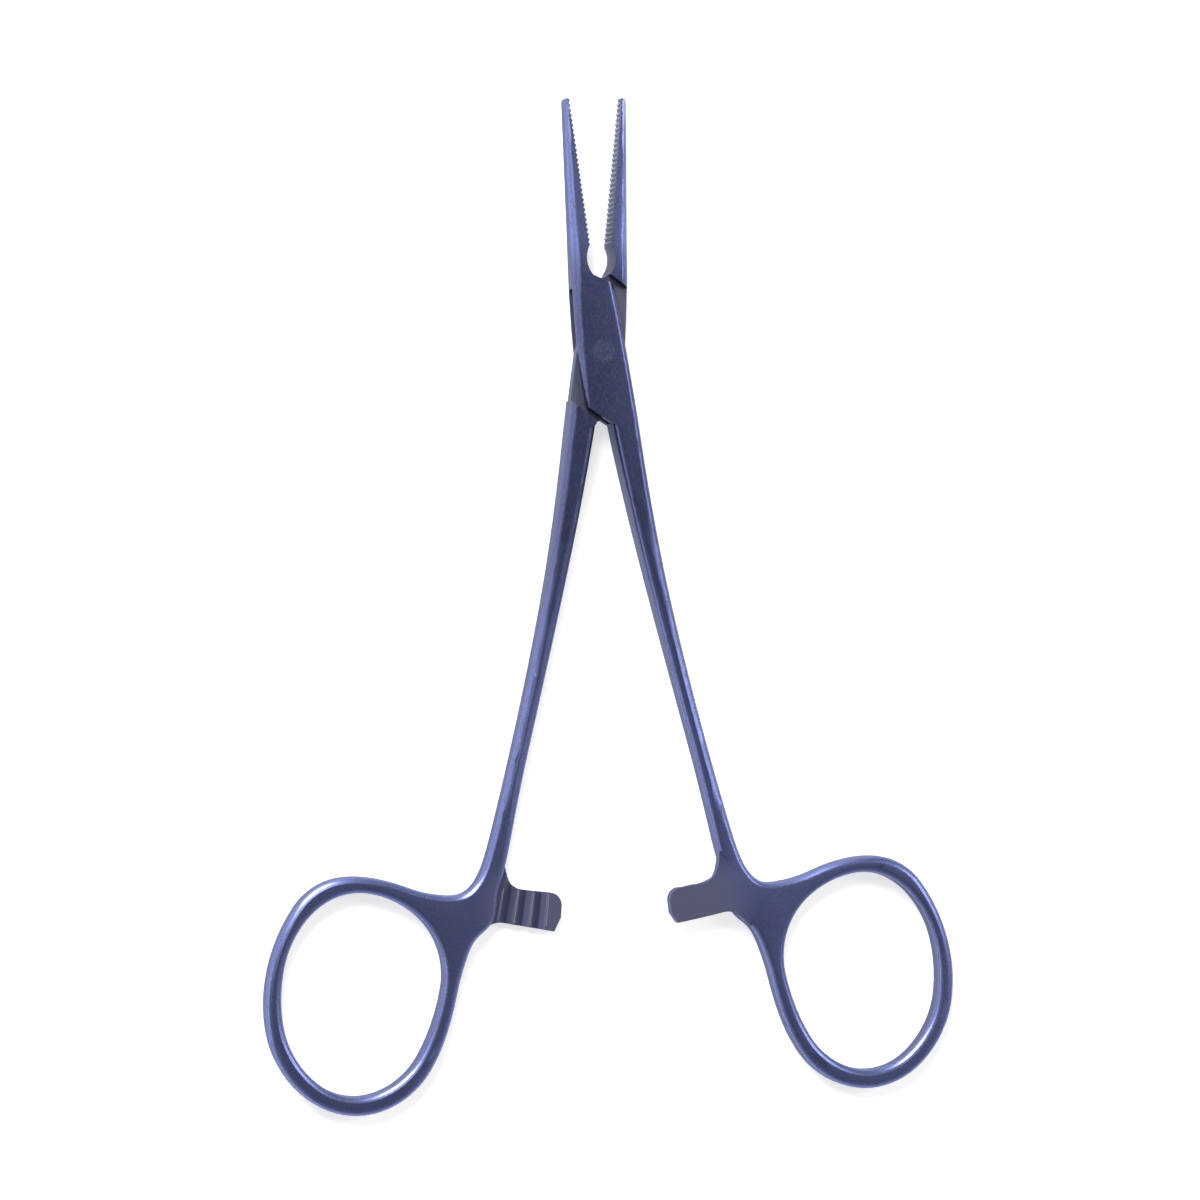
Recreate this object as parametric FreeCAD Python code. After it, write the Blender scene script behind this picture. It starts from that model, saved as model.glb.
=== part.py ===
"""Straight ring-handled hemostat forceps, half open, lying on its back.

Two forged halves cross in a box lock. The female half has a slot through its box, the male half has a thin
waist that fills the slot, and a flush rivet joins them. Each half is drawn in the closed position, with its
jaw on the left of the centre plane and its handle on the right, then opened about the pivot.

Millimetres. The pivot axis is the Z axis, the jaws point along +Y, and the back of the lock lies at Z = 0.
"""

import FreeCAD, Part
import math
import os

V = FreeCAD.Vector

# Lock: plate thickness, slot, and the play of the waist in the slot
LOCK_THICKNESS = 4.2
SLOT_HEIGHT = 1.6
WAIST_PLAY = 0.05
SHOULDER_GAP = 0.13
LOCK_HALF_WIDTH = 3.0

# The end faces of the box and of the waist, where each half stops short of the other's full thickness
UPPER_END_INNER = (-0.06, 9.35)
UPPER_END_OUTER = (2.42, 7.95)
LOWER_END_OUTER = (-2.75, -6.6)
LOWER_END_INNER = (0.13, -8.9)

# Pivot rivet
PIN_RADIUS = 1.0
PIN_PLAY = 0.03
PIN_HEAD_RADIUS = 1.45
PIN_HEAD_DEPTH = 0.45

# Jaws
JAW_LENGTH = 31.05
JAW_TIP_THICKNESS = 2.1
JAW_ROOT_Y = 9.6
TIP_FLAT = 0.45
TIP_CHAMFER_WIDTH = 0.42
TIP_CHAMFER_LENGTH = 0.85
RELIEF_TOP_Y = 13.1
RELIEF_DEEPEST_Y = 11.2
RELIEF_DEPTH = 0.6
RELIEF_SHOULDERS = [(0.43, 10.13), (0.36, 12.35)]

# Rounded outer side of the jaw, fading to a point at the foot of the box:
# station along Y, distance of the outermost line, width of the flat on top, height of the upright side
FLANK_STATIONS = [
    (34.0, 0.30, 0.22, 0.5),
    (22.0, 1.44, 0.80, 0.8),
    (JAW_ROOT_Y, 2.50, 1.50, 1.3),
    (1.0, 2.97, 2.20, 2.0),
    (-7.5, 2.72, 2.66, 3.6),
]
FLANK_BULGE = 0.15
FLANK_LEAD = (0.77, 0.23)

# Jaw teeth: cross grooves that mesh when the jaws close
TOOTH_PITCH = 0.61
TOOTH_DEPTH = 0.22
TOOTH_MESH_GAP = 0.06
TOOTH_OVERRUN = 0.04

# Shank: station along Y, centre line and width across
SHANK_STATIONS = [
    (-22.0, 2.68, 2.56),
    (-40.0, 4.74, 2.04),
    (-58.0, 7.26, 2.26),
]

# Half thicknesses below the lock, at the middle of the shank, and at the yoke and the ring
SHANK_TAPER_START_Y = -6.0
SHANK_MIDDLE_Y = -32.0
SHANK_MIDDLE_HALF_THICKNESS = 1.62
YOKE_Y = -62.0
YOKE_HALF_THICKNESS = 1.4
FOOT_Y = -110.0

# Finger ring: its centre, and stations round it: direction in degrees from +X, radius of the hole, and the
# wall outside it. The last station has no wall of its own, because the ring runs into the yoke there.
RING_CENTRE = (23.4, -79.9)
RING_STATIONS = [
    (90, 12.17, 1.93),
    (65, 11.87, 2.31),
    (30, 10.31, 1.82),
    (0, 9.61, 1.94),
    (-45, 10.72, 2.21),
    (-90, 12.26, 2.31),
    (-120, 11.45, 2.35),
    (-160, 9.80, 2.04),
    (-212, 11.05, None),
]

# Yoke: steps of the outer edge below the last shank station, and the saddle before the ring
YOKE_HIP = (0.77, -4.2)
YOKE_CORNER = (1.75, -7.2)
SADDLE_LENGTH = 9.57
SADDLE_ABOVE_HOLE = 0.4
SADDLE_START = (-2.3, 0.5)

# Inside of the yoke behind the arm, from below upwards, from the arm's root and its outer radius
YOKE_INSIDE = [(3.3, -4.1), (2.35, -1.85), (1.0, -0.35), (0.15, 1.5), (0.05, 3.5)]
YOKE_NECK = (0.7, -5.6)

# Ratchet arms, on circles about the pivot, each half the thickness of the yoke
ARM_BELOW_SHANK = 8.15
ARM_WIDTH = 4.35
FEMALE_ARM_SLIMMER = 0.25
FEMALE_ARM_FLARE = 0.15
MALE_ARM_FLARE = 0.34
ARM_FLAT_GAP = 0.1
ARM_ROOT_X = 7.25
ARM_ROOT_UPPER = (-0.55, 3.6)
ARM_ROOT_LOWER = (2.3, -2.0)
ARM_ROOT_INSIDE = (2.6, -1.0)
ARM_ROOT_TOP_WAY = (-0.05, -1.0)
ARM_ROOT_FOOT_WAY = (-0.6, 1.0)
ARM_UPPER_ROUND = 3.1
ARM_LOWER_ROUND = 0.9
FEMALE_ARM_REACH = -0.3
MALE_ARM_REACH = -0.9
ARM_END_STRAIGHT = 2.95
ARM_END_SLANT = 0.68
ARM_CORNER_RADIUS = 1.5
RATCHET_TEETH = 3
RATCHET_PITCH = 1.97
RATCHET_DEPTH = 0.62
RATCHET_FIRST_X = 0.86
RATCHET_CREST = 0.3
RATCHET_STEEP_SHARE = 0.42
RATCHET_OVERRUN = 1.5

# Edge rounding of the forgings
EDGE_RADIUS = 0.82
HOLE_EDGE_RADIUS = 0.76

# Opening at rest, of each half from the centre plane
REST_HALF_ANGLE = 6.15

MIDDLE_Z = LOCK_THICKNESS / 2
CLEAR = 8.0
TOOTH_CREST_X = (TOOTH_DEPTH - TOOTH_MESH_GAP) / 2
ARM_INNER_RADIUS = ARM_BELOW_SHANK - SHANK_STATIONS[-1][0]
ARM_OUTER_RADIUS = ARM_INNER_RADIUS + ARM_WIDTH
STRAIGHT = 1e-7
FOUND = 1e-3


def point(xy):
    return V(xy[0], xy[1], 0)


def line(a, b):
    return Part.LineSegment(a, b).toShape()


def spline(points, start=None, end=None):
    curve = Part.BSplineCurve()
    if start is None:
        curve.interpolate(Points=points)
    else:
        curve.interpolate(Points=points, InitialTangent=start, FinalTangent=end)
    return curve.toShape()


def tangent_arc(start, direction, end):
    """The arc that leaves start along direction and reaches end, or a line where it would be straight."""
    chord = end - start
    across = V(-chord.y, chord.x, 0)
    cosine = direction.dot(chord) / chord.Length
    sine = (direction.x * chord.y - direction.y * chord.x) / chord.Length
    if abs(sine) < STRAIGHT:
        return line(start, end)
    half_turn = math.atan2(sine, cosine)
    middle = (start + end) * 0.5 - across * (math.tan(half_turn / 2) / 2)
    return Part.Arc(start, middle, end).toShape()


def biarc(start, start_direction, end, end_direction):
    """Two arcs that join two points smoothly, each leaving or reaching its point along a direction."""
    chord = end - start
    turn = start_direction + end_direction
    a = 2 * (start_direction.dot(end_direction) - 1)
    b = -2 * chord.dot(turn)
    c = chord.dot(chord)
    if abs(a) < STRAIGHT:
        reach = -c / b
    else:
        reach = (-b - math.sqrt(b * b - 4 * a * c)) / (2 * a)
    joint = (start + end + (start_direction - end_direction) * reach) * 0.5
    first = tangent_arc(start, start_direction, joint)
    second = tangent_arc(end, end_direction * -1, joint)
    return [first, second]


def arc_run(points, closed=False):
    """A smooth run of tangent arcs through points, with the directions of a spline through them."""
    guide = Part.BSplineCurve()
    if closed:
        guide.interpolate(Points=points, PeriodicFlag=True)
    else:
        guide.interpolate(Points=points)
    directions = [V(*guide.tangent(guide.parameter(p))[0]) for p in points]
    if closed:
        points = points + points[:1]
        directions = directions + directions[:1]
    edges = []
    for i in range(len(points) - 1):
        edges += biarc(points[i], directions[i], points[i + 1], directions[i + 1])
    if not closed:
        edges = edges[2:-2]
        edges.insert(0, tangent_arc(points[1], directions[1] * -1, points[0]))
        edges.append(tangent_arc(points[-2], directions[-2], points[-1]))
    return edges


def plate(edges, bottom, top):
    """A flat solid between two heights from a closed chain of plan edges."""
    face = Part.Face(Part.Wire(edges))
    face.translate(V(0, 0, bottom))
    return face.extrude(V(0, 0, top - bottom))


def polygon_plate(points, bottom, top):
    wire = Part.makePolygon(points + points[:1])
    return plate(wire.Edges, bottom, top)


def shank_edge(side):
    """Points of the shank's outer (side = 1) or inner (side = -1) edge, from the lock to the yoke."""
    return [V(centre + side * width / 2, y, 0) for y, centre, width in SHANK_STATIONS]


def ring_point(direction, radius):
    turn = math.radians(direction)
    return V(RING_CENTRE[0] + radius * math.cos(turn), RING_CENTRE[1] + radius * math.sin(turn), 0)


def ring_hole():
    return arc_run([ring_point(direction, radius) for direction, radius, wall in RING_STATIONS], closed=True)


def on_arm(radius, x):
    """The point of an arm's edge circle at a given X, below the pivot."""
    return V(x, -math.sqrt(radius**2 - x**2), 0)


def handle_edges():
    """Plan edges from the box's upper end, down the shank, round the ring, and back up to the crotch."""
    hole_top = ring_point(RING_STATIONS[0][0], RING_STATIONS[0][1])
    saddle = V(RING_CENTRE[0] - SADDLE_LENGTH, hole_top.y + SADDLE_ABOVE_HOLE, 0)
    shank_outer = shank_edge(1)
    shank_inner = shank_edge(-1)
    outer = [point(UPPER_END_OUTER), V(LOCK_HALF_WIDTH, 0, 0)] + shank_outer
    yoke = [
        shank_outer[-1] + point(YOKE_HIP),
        shank_outer[-1] + point(YOKE_CORNER),
        saddle + point(SADDLE_START),
        saddle,
    ]
    ring = [ring_point(direction, radius + wall) for direction, radius, wall in RING_STATIONS if wall]
    root = [V(ARM_ROOT_X + dx, dy - ARM_OUTER_RADIUS, 0) for dx, dy in YOKE_INSIDE]
    inner = [shank_inner[-1] + point(YOKE_NECK)] + shank_inner[::-1] + [point(LOWER_END_INNER)]
    return arc_run(outer + yoke + ring + root + inner)


def half_plan(handle):
    """The whole plan of one half. The flank side is left wide, for the flank tool to shape."""
    upper_inner = point(UPPER_END_INNER)
    face_foot = V(TOOTH_CREST_X, RELIEF_TOP_Y, 0)
    face_top = V(TOOTH_CREST_X, JAW_LENGTH, 0)
    far_tip = V(-CLEAR / 2, JAW_LENGTH, 0)
    far_foot = V(-CLEAR / 2, LOWER_END_OUTER[1], 0)
    lower_outer = point(LOWER_END_OUTER)
    relief = spline(
        [
            upper_inner,
            V(-RELIEF_SHOULDERS[0][0], RELIEF_SHOULDERS[0][1], 0),
            V(-RELIEF_DEPTH, RELIEF_DEEPEST_Y, 0),
            V(-RELIEF_SHOULDERS[1][0], RELIEF_SHOULDERS[1][1], 0),
            face_foot,
        ]
    )
    head = [
        line(point(LOWER_END_INNER), lower_outer),
        line(lower_outer, far_foot),
        line(far_foot, far_tip),
        line(far_tip, face_top),
        line(face_top, face_foot),
        relief,
        line(upper_inner, point(UPPER_END_OUTER)),
    ]
    return head + handle


def thickness_profile():
    """Side view of one half: tapered jaw, parallel box, and a shank that thins towards the yoke."""
    jaw_slope = (LOCK_THICKNESS - JAW_TIP_THICKNESS) / 2 / (JAW_LENGTH - JAW_ROOT_Y)
    tip_half = JAW_TIP_THICKNESS / 2 - CLEAR * jaw_slope
    lock_half = LOCK_THICKNESS / 2

    def at(y, half):
        return V(-CLEAR * 2, y, MIDDLE_Z + half)

    edges = []
    for side in (1, -1):
        edges.append(line(at(JAW_LENGTH + CLEAR, side * tip_half), at(JAW_ROOT_Y, side * lock_half)))
        edges.append(line(at(JAW_ROOT_Y, side * lock_half), at(SHANK_TAPER_START_Y, side * lock_half)))
        edges.append(
            spline(
                [
                    at(SHANK_TAPER_START_Y, side * lock_half),
                    at(SHANK_MIDDLE_Y, side * SHANK_MIDDLE_HALF_THICKNESS),
                    at(YOKE_Y, side * YOKE_HALF_THICKNESS),
                ],
                V(0, -1, 0),
                V(0, -1, 0),
            )
        )
        edges.append(line(at(YOKE_Y, side * YOKE_HALF_THICKNESS), at(FOOT_Y, side * YOKE_HALF_THICKNESS)))
    edges.append(line(at(JAW_LENGTH + CLEAR, tip_half), at(JAW_LENGTH + CLEAR, -tip_half)))
    edges.append(line(at(FOOT_Y, YOKE_HALF_THICKNESS), at(FOOT_Y, -YOKE_HALF_THICKNESS)))
    wire = Part.Wire(Part.__sortEdges__(edges))
    return Part.Face(wire).extrude(V(2 * RING_CENTRE[0] + 2 * CLEAR, 0, 0))


def flank_section(y, reach, flat, upright):
    """One closed section of the tool that shapes the jaw's outer side and the flank of the box."""
    slope = (LOCK_THICKNESS - JAW_TIP_THICKNESS) / 2 / (JAW_LENGTH - JAW_ROOT_Y)
    half = LOCK_THICKNESS / 2 - max(0.0, y - JAW_ROOT_Y) * slope
    edges = []
    top = V(-flat, y, MIDDLE_Z + half)
    side = V(-reach, y, MIDDLE_Z + upright / 2)
    chord = side - top
    outward = V(chord.z, 0, -chord.x).normalize()
    bulge = (top + side) * 0.5 + outward * (FLANK_BULGE * chord.Length)
    above = top + V(FLANK_LEAD[0], 0, FLANK_LEAD[1])
    corner = V(-CLEAR, y, above.z)

    def down(p):
        return V(p.x, p.y, 2 * MIDDLE_Z - p.z)

    edges.append(line(above, top))
    edges.append(Part.Arc(top, bulge, side).toShape())
    edges.append(line(side, down(side)))
    edges.append(Part.Arc(down(side), down(bulge), down(top)).toShape())
    edges.append(line(down(top), down(above)))
    edges.append(line(down(above), down(corner)))
    edges.append(line(down(corner), corner))
    edges.append(line(corner, above))
    return Part.Wire(edges)


def flank_tool():
    sections = [flank_section(*station) for station in FLANK_STATIONS]
    return Part.makeLoft(sections, True, False)


def edges_on(shape, plan_edges):
    """The top and bottom edges of a plate that lie over the given plan edges."""
    found = []
    for edge in shape.Edges:
        first, last = edge.firstVertex().Point, edge.lastVertex().Point
        if math.hypot(first.x - last.x, first.y - last.y) < FOUND:
            continue
        middle = edge.valueAt((edge.FirstParameter + edge.LastParameter) / 2)
        spot = Part.Vertex(middle.x, middle.y, 0)
        if any(plan.distToShape(spot)[0] < FOUND for plan in plan_edges):
            found.append(edge)
    return found


def forged_half():
    """One half before its lock is cut: plan, thickness, rounded edges, finger hole and jaw."""
    handle = handle_edges()
    body = plate(half_plan(handle), -CLEAR, LOCK_THICKNESS + CLEAR).common(thickness_profile())
    hole = ring_hole()
    body = body.cut(plate(hole, -CLEAR, LOCK_THICKNESS + CLEAR))
    body = body.makeFillet(EDGE_RADIUS, edges_on(body, handle))
    body = body.makeFillet(HOLE_EDGE_RADIUS, edges_on(body, hole))
    return body.cut(flank_tool())


def along_arm(spot):
    """Direction towards the arm's end, along the circle about the pivot that passes through a point."""
    return V(spot.y, -spot.x, 0).normalize()


def upright_at(shape, spot):
    """The vertical edge of a plate that stands at a plan point."""
    for edge in shape.Edges:
        first, last = edge.firstVertex().Point, edge.lastVertex().Point
        if V(first.x, first.y, 0).isEqual(spot, FOUND) and V(last.x, last.y, 0).isEqual(spot, FOUND):
            return edge
    raise ValueError("no vertical edge there")


def ratchet_arm(reach, outer_radius, flare):
    """The arm of a half: a plate above the middle, with the teeth cut into its underside."""
    upper_root = V(ARM_ROOT_X, -ARM_INNER_RADIUS, 0)
    lower_root = V(ARM_ROOT_X, -outer_radius, 0)
    root_top = upper_root + point(ARM_ROOT_UPPER)
    root_foot = lower_root + point(ARM_ROOT_LOWER)
    top_start = on_arm(ARM_INNER_RADIUS, ARM_ROOT_X - ARM_UPPER_ROUND)
    foot_start = on_arm(outer_radius, ARM_ROOT_X - ARM_LOWER_ROUND)
    top_end = on_arm(ARM_INNER_RADIUS, reach)
    foot_end = on_arm(outer_radius + flare, reach + ARM_END_SLANT)
    side_end = top_end + V(0, -ARM_END_STRAIGHT, 0)
    inside = upper_root + point(ARM_ROOT_INSIDE)
    middle_top = on_arm(ARM_INNER_RADIUS, (top_start.x + top_end.x) / 2)
    top = biarc(root_top, point(ARM_ROOT_TOP_WAY).normalize(), top_start, along_arm(top_start))
    foot = biarc(root_foot, point(ARM_ROOT_FOOT_WAY).normalize(), foot_start, along_arm(foot_start))
    edges = top + [
        Part.Arc(top_start, middle_top, top_end).toShape(),
        line(top_end, side_end),
        line(side_end, foot_end),
        tangent_arc(foot_start, along_arm(foot_start), foot_end),
    ]
    edges += foot[::-1] + [line(root_foot, inside), line(inside, root_top)]
    low = MIDDLE_Z + ARM_FLAT_GAP / 2
    arm = plate(edges, low, MIDDLE_Z + YOKE_HALF_THICKNESS)
    arm = arm.makeFillet(ARM_CORNER_RADIUS, [upright_at(arm, top_end)])
    return arm.cut(ratchet_tool(low))


def ratchet_tool(low):
    """Saw-tooth grooves across the arm, each lying along a radius from the pivot."""
    middle_radius = (ARM_INNER_RADIUS + ARM_OUTER_RADIUS) / 2
    width = ARM_WIDTH / 2 + RATCHET_OVERRUN
    grooves = []
    for tooth in range(RATCHET_TEETH):
        ridge = RATCHET_FIRST_X + tooth * RATCHET_PITCH
        start = ridge + RATCHET_CREST / 2
        end = ridge + RATCHET_PITCH - RATCHET_CREST / 2
        deepest = start + (end - start) * RATCHET_STEEP_SHARE
        profile = [
            V(start, -middle_radius - width, low - RATCHET_OVERRUN),
            V(start, -middle_radius - width, low),
            V(deepest, -middle_radius - width, low + RATCHET_DEPTH),
            V(end, -middle_radius - width, low),
            V(end, -middle_radius - width, low - RATCHET_OVERRUN),
        ]
        centre = (start + end) / 2
        profile = [V(p.x - centre, p.y, p.z) for p in profile]
        groove = Part.Face(Part.makePolygon(profile + profile[:1])).extrude(V(0, 2 * width, 0))
        groove.rotate(V(0, 0, 0), V(0, 0, 1), math.degrees(centre / middle_radius))
        grooves.append(groove)
    return Part.makeCompound(grooves)


def jaw_tooth_tool(shift):
    """V grooves across the biting face, counted from the tip and moved down by a share of the pitch."""
    grooves = []
    count = math.ceil((JAW_LENGTH - RELIEF_TOP_Y) / TOOTH_PITCH) + 1
    for tooth in range(count):
        y = JAW_LENGTH - (tooth + shift) * TOOTH_PITCH
        slope = TOOTH_PITCH / 2 / TOOTH_DEPTH
        profile = [
            V(TOOTH_CREST_X - TOOTH_DEPTH, y, -CLEAR),
            V(TOOTH_CREST_X + TOOTH_OVERRUN, y - TOOTH_PITCH / 2 - TOOTH_OVERRUN * slope, -CLEAR),
            V(TOOTH_CREST_X + TOOTH_OVERRUN, y + TOOTH_PITCH / 2 + TOOTH_OVERRUN * slope, -CLEAR),
        ]
        end = Part.Face(Part.makePolygon(profile + profile[:1]))
        grooves.append(end.extrude(V(0, 0, 2 * CLEAR + LOCK_THICKNESS)))
    return Part.makeCompound(grooves)


def offset_line(a, b, gap):
    """The line through two plan points moved to its left by a gap, and made longer at both ends."""
    along = (b - a).normalize()
    left = V(-along.y, along.x, 0)
    return a + left * gap - along * CLEAR, b + left * gap + along * CLEAR


def lock_window(gap):
    """Plan corners of the region between the other half's two end faces, with a gap beyond each."""
    upper_in, upper_out = point(UPPER_END_INNER), point(UPPER_END_OUTER)
    lower_out, lower_in = point(LOWER_END_OUTER), point(LOWER_END_INNER)

    def mirrored(p):
        return V(-p.x, p.y, 0)

    upper = offset_line(mirrored(upper_in), mirrored(upper_out), -gap)
    lower = offset_line(mirrored(lower_out), mirrored(lower_in), gap)
    return [upper[1], upper[0], lower[0], lower[1]]


def pin_hole(radius):
    return Part.makeCylinder(radius, LOCK_THICKNESS + 2 * CLEAR, V(0, 0, -CLEAR))


def rivet():
    """Straight rivet with a flush conical head at each end."""
    profile = [
        V(0, 0, 0),
        V(PIN_HEAD_RADIUS, 0, 0),
        V(PIN_RADIUS, 0, PIN_HEAD_DEPTH),
        V(PIN_RADIUS, 0, LOCK_THICKNESS - PIN_HEAD_DEPTH),
        V(PIN_HEAD_RADIUS, 0, LOCK_THICKNESS),
        V(0, 0, LOCK_THICKNESS),
    ]
    return Part.Face(Part.makePolygon(profile + profile[:1])).revolve(V(0, 0, 0), V(0, 0, 1), 360)


def female_half():
    """Box with the slot, jaw on the left, arm teeth facing down."""
    arm = ratchet_arm(FEMALE_ARM_REACH, ARM_OUTER_RADIUS - FEMALE_ARM_SLIMMER, FEMALE_ARM_FLARE)
    body = forged_half().fuse(arm)
    slot_half = SLOT_HEIGHT / 2
    body = body.cut(polygon_plate(lock_window(SHOULDER_GAP), MIDDLE_Z - slot_half, MIDDLE_Z + slot_half))
    for tool in (rivet(), tip_tool()):
        body = body.cut(tool)
    return body.cut(jaw_tooth_tool(0.0)).removeSplitter()


def male_half():
    """Thin waist, jaw on the right, arm teeth facing up."""
    arm = ratchet_arm(MALE_ARM_REACH, ARM_OUTER_RADIUS, MALE_ARM_FLARE)
    arm = arm.mirror(V(0, 0, MIDDLE_Z), V(0, 0, 1))
    body = forged_half().fuse(arm)
    waist_half = SLOT_HEIGHT / 2 - WAIST_PLAY
    window = lock_window(SHOULDER_GAP)
    body = body.cut(polygon_plate(window, -CLEAR, MIDDLE_Z - waist_half))
    body = body.cut(polygon_plate(window, MIDDLE_Z + waist_half, LOCK_THICKNESS + CLEAR))
    body = body.cut(pin_hole(PIN_RADIUS + PIN_PLAY)).cut(tip_tool())
    body = body.cut(jaw_tooth_tool(0.5)).removeSplitter()
    return body.mirror(V(0, 0, 0), V(1, 0, 0))


def tip_tool():
    """Cuts the jaw's end square and chamfers its outer corner."""
    square = Part.makeBox(4 * CLEAR, CLEAR, 4 * CLEAR, V(-2 * CLEAR, JAW_LENGTH, -2 * CLEAR))
    start = V(-TIP_FLAT, JAW_LENGTH, 0)
    slope = V(-TIP_CHAMFER_WIDTH, -TIP_CHAMFER_LENGTH, 0)
    near, far = start - slope, start + slope * 3
    outward = V(-CLEAR, 0, 0)
    corner = polygon_plate([near, far, far + outward, near + outward], -CLEAR, LOCK_THICKNESS + CLEAR)
    return Part.makeCompound([square, corner])


def main():
    os.makedirs("parts", exist_ok=True)
    axis = V(0, 0, 1)
    female = female_half()
    male = male_half()
    female.rotate(V(0, 0, 0), axis, REST_HALF_ANGLE)
    male.rotate(V(0, 0, 0), axis, -REST_HALF_ANGLE)
    for name, shape in (("female_half", female), ("male_half", male), ("pivot_pin", rivet())):
        solid = shape if shape.ShapeType == "Solid" else shape.Solids[0]
        print(name, len(shape.Solids), solid.isValid(), round(solid.Volume, 2), solid.BoundBox)
        solid.exportStep("parts/" + name + ".step")


main()
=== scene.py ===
import math

import bmesh
import bpy
from mathutils import Matrix, Vector


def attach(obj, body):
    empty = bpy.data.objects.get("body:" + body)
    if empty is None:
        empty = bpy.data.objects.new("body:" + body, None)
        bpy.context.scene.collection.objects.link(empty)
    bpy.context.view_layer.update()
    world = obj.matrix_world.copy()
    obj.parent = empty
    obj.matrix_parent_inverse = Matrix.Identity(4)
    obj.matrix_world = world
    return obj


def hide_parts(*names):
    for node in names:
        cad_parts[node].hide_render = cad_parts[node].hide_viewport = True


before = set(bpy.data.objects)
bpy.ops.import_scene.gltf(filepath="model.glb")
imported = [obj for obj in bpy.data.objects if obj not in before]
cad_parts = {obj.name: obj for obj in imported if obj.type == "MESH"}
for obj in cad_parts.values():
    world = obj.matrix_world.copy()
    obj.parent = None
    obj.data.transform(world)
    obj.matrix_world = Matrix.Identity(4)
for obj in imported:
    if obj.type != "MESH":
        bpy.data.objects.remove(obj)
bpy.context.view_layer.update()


# Female half
# One steel forging: left jaw, slotted box, right shank, finger ring and the ratchet arm that lies on top.
# Ground and tumbled to a satin surface, then coated blue. The coat is thin on the biting face and on the arm.

MM = 0.001
FEMALE_SIDE = 1.0
HALF_OPENING = math.radians(6.15)

# Places in the closed instrument, from the pivot: x across, 0 where the jaws bite, and y towards the tips.
LOCK_MIDDLE_Z = 2.1 * MM
LOCK_REACH = 9.6 * MM
LOCK_FADE = 0.5 * MM
WAIST_HALF = 0.8 * MM
SLOT_FADE = (0.3 * MM, 0.1 * MM)
JAW_LENGTH = 31.05 * MM
JAW_ROOT_WIDTH = 2.75 * MM
JAW_TIP_WIDTH = 1.15 * MM
JAW_TIP_HALF = 1.05 * MM
BITE_DEPTH = 0.70 * MM
BITE_FADE = 0.05 * MM
BITE_FOOT_Y = 9.6 * MM
ARM_ROOT_X = 7.4 * MM
ARM_ROOT_FADE = (3.5 * MM, -1.8 * MM)
ARM_TOP_Y = -65.6 * MM
ARM_TOP_FADE = (3.0 * MM, -1.0 * MM)
GROOVE_LIP = (0.07 * MM, 0.16 * MM)
GROOVE_BOTTOM = 0.70 * MM
GROOVE_FADE = 0.05 * MM
RING_CENTRE = (23.4 * MM, -79.9 * MM)
RING_REACH = 17.0 * MM
YOKE_BEARING = math.radians(148)

# Painted light: the coat is made lighter towards the jaw's tip and along the handle, standing for the brighter
# light on the flats there.
# A face counts as a wall, a level face or a rim by how much of its normal points up or down.
JAW_PAINTED_LIGHT = (8.0 * MM, 15.0 * MM)
HANDLE_PAINTED_LIGHT = (-12.0 * MM, -46.0 * MM)
WALL_STEEPNESS = (0.75, 0.35)
LEVEL_STEEPNESS = (0.60, 0.90)
RIM_STEEPNESS = (0.45, 0.10)

COAT_DEEP = (0.062, 0.071, 0.150, 1.0)
COAT_BRIGHT = (0.104, 0.126, 0.290, 1.0)
COAT_BROWN = (0.128, 0.126, 0.190, 1.0)
COAT_PAINTED_LIGHT = (0.178, 0.212, 0.465, 1.0)
COAT_EDGE_TINT = (0.52, 0.55, 0.66, 1.0)
RIM_STEEL = (0.128, 0.136, 0.190, 1.0)
BITE_STEEL = (0.180, 0.184, 0.225, 1.0)
ARM_STEEL = (0.145, 0.152, 0.245, 1.0)
WAIST_STEEL = (0.130, 0.137, 0.195, 1.0)
# Painted shade: the ratchet grooves are coloured darker than the bare arm around them.
GROOVE_PAINTED_SHADE = (0.092, 0.095, 0.165, 1.0)

GRAIN_MM = 0.16
GRAIN_DETAIL = 3.0
GRAIN_STRETCH = 0.45
CLOUD_MM = 7.0
CLOUD_DETAIL = 2.0
CLOUD_STRETCH = 0.6
GRAIN_SHARE = 0.55
CLOUD_CONTRAST = 1.6
CLOUD_SHIFT = -0.6
BROWN_FROM = 0.50
BROWN_SPAN = 0.20
PAINTED_LIGHT_SHARE = 0.80
SATIN_ROUGHNESS = 0.33
SATIN_SPREAD = (-0.05, 0.09)
BARE_DULLING = 0.14
GROOVE_DULLING = 0.18
GRAIN_BUMP = 0.25
GRAIN_HEIGHT = 0.01 * MM

# The jaw's back is cut lengthwise at shares of its width, and across at steps over which the crown rises.
CROWN_CUTS = (0.30, 0.42, 0.54, 0.66, 0.78, 0.90)
CROWN_FALL = 0.45
CROWN_RISE = (8.6 * MM, 9.6 * MM, 10.6 * MM, 11.8 * MM, 13.0 * MM, 14.3 * MM, 15.6 * MM)
CROWN_MARGIN = 1.0 * MM
WELD = 0.002 * MM
CUT_SNAP = WELD / 10

SMOOTH_ANGLE = math.radians(28)
FLAT_TILT = math.radians(5.5)
OVAL_TILT = 0.30
SHANK_OVAL_FROM = -14.0 * MM
SHANK_OVAL_FULL = -34.0 * MM
SHANK_OVAL_ENDS = -60.0 * MM
SHANK_OVAL_FADE = 8 * MM
RING_OVAL_FROM = math.radians(40)
RING_OVAL_FULL = math.radians(75)


def node_group(name, inputs, outputs):
    """A shader node group with named float inputs (name, value) and float outputs."""
    group = bpy.data.node_groups.new(name, "ShaderNodeTree")
    for label, value in inputs:
        socket = group.interface.new_socket(name=label, in_out="INPUT", socket_type="NodeSocketFloat")
        socket.default_value = value
    for label in outputs:
        group.interface.new_socket(name=label, in_out="OUTPUT", socket_type="NodeSocketFloat")
    return group, group.nodes.new("NodeGroupInput"), group.nodes.new("NodeGroupOutput")


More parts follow.
